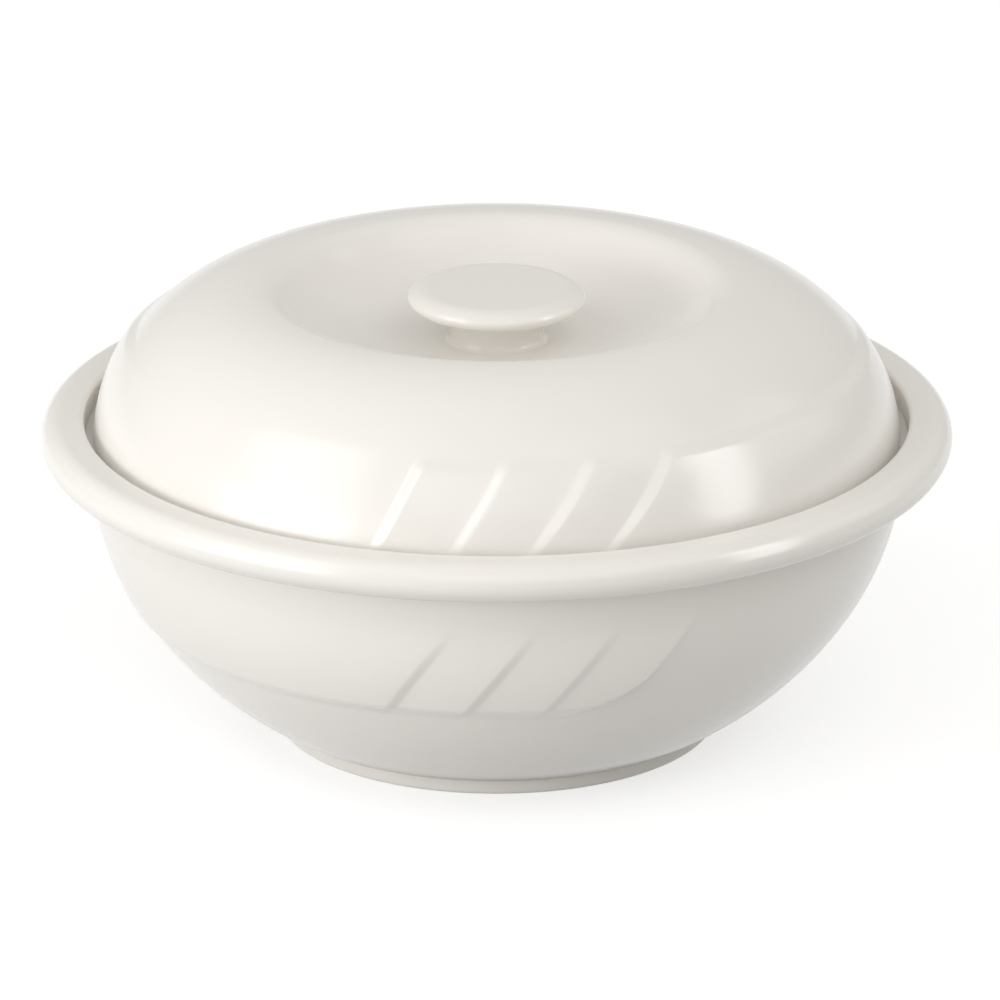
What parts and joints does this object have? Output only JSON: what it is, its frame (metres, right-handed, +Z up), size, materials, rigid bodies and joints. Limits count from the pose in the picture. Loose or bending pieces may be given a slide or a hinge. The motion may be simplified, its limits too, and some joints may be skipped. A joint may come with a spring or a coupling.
{
  "type": "soup tureen",
  "caption": "Round glazed porcelain soup tureen with slanted overlapping pleats, a footed bowl with a flat recessed rim, and a ring-domed lift-off lid with a low disc knob in its well.",
  "frame": {"origin": "centre of the tureen's foot, on the surface that it stands on", "axes": "+Z up along the tureen's axis, which is also the way the lid lifts off; -Y to the front, where a group of pleats shows; +X to the right"},
  "size_m": [0.27, 0.27, 0.1354],
  "materials": {
    "ivory_glaze": "gloss"
  },
  "bodies": {
    "bowl": {"bowl": "ivory_glaze"},
    "cover": {"lid": "ivory_glaze", "knob": "ivory_glaze"}
  },
  "joints": [
    {"name": "lid_lift", "type": "slide", "parent": "bowl", "child": "cover", "axis": [0, 0, 1], "range_m": [0, 0.12]}
  ]
}
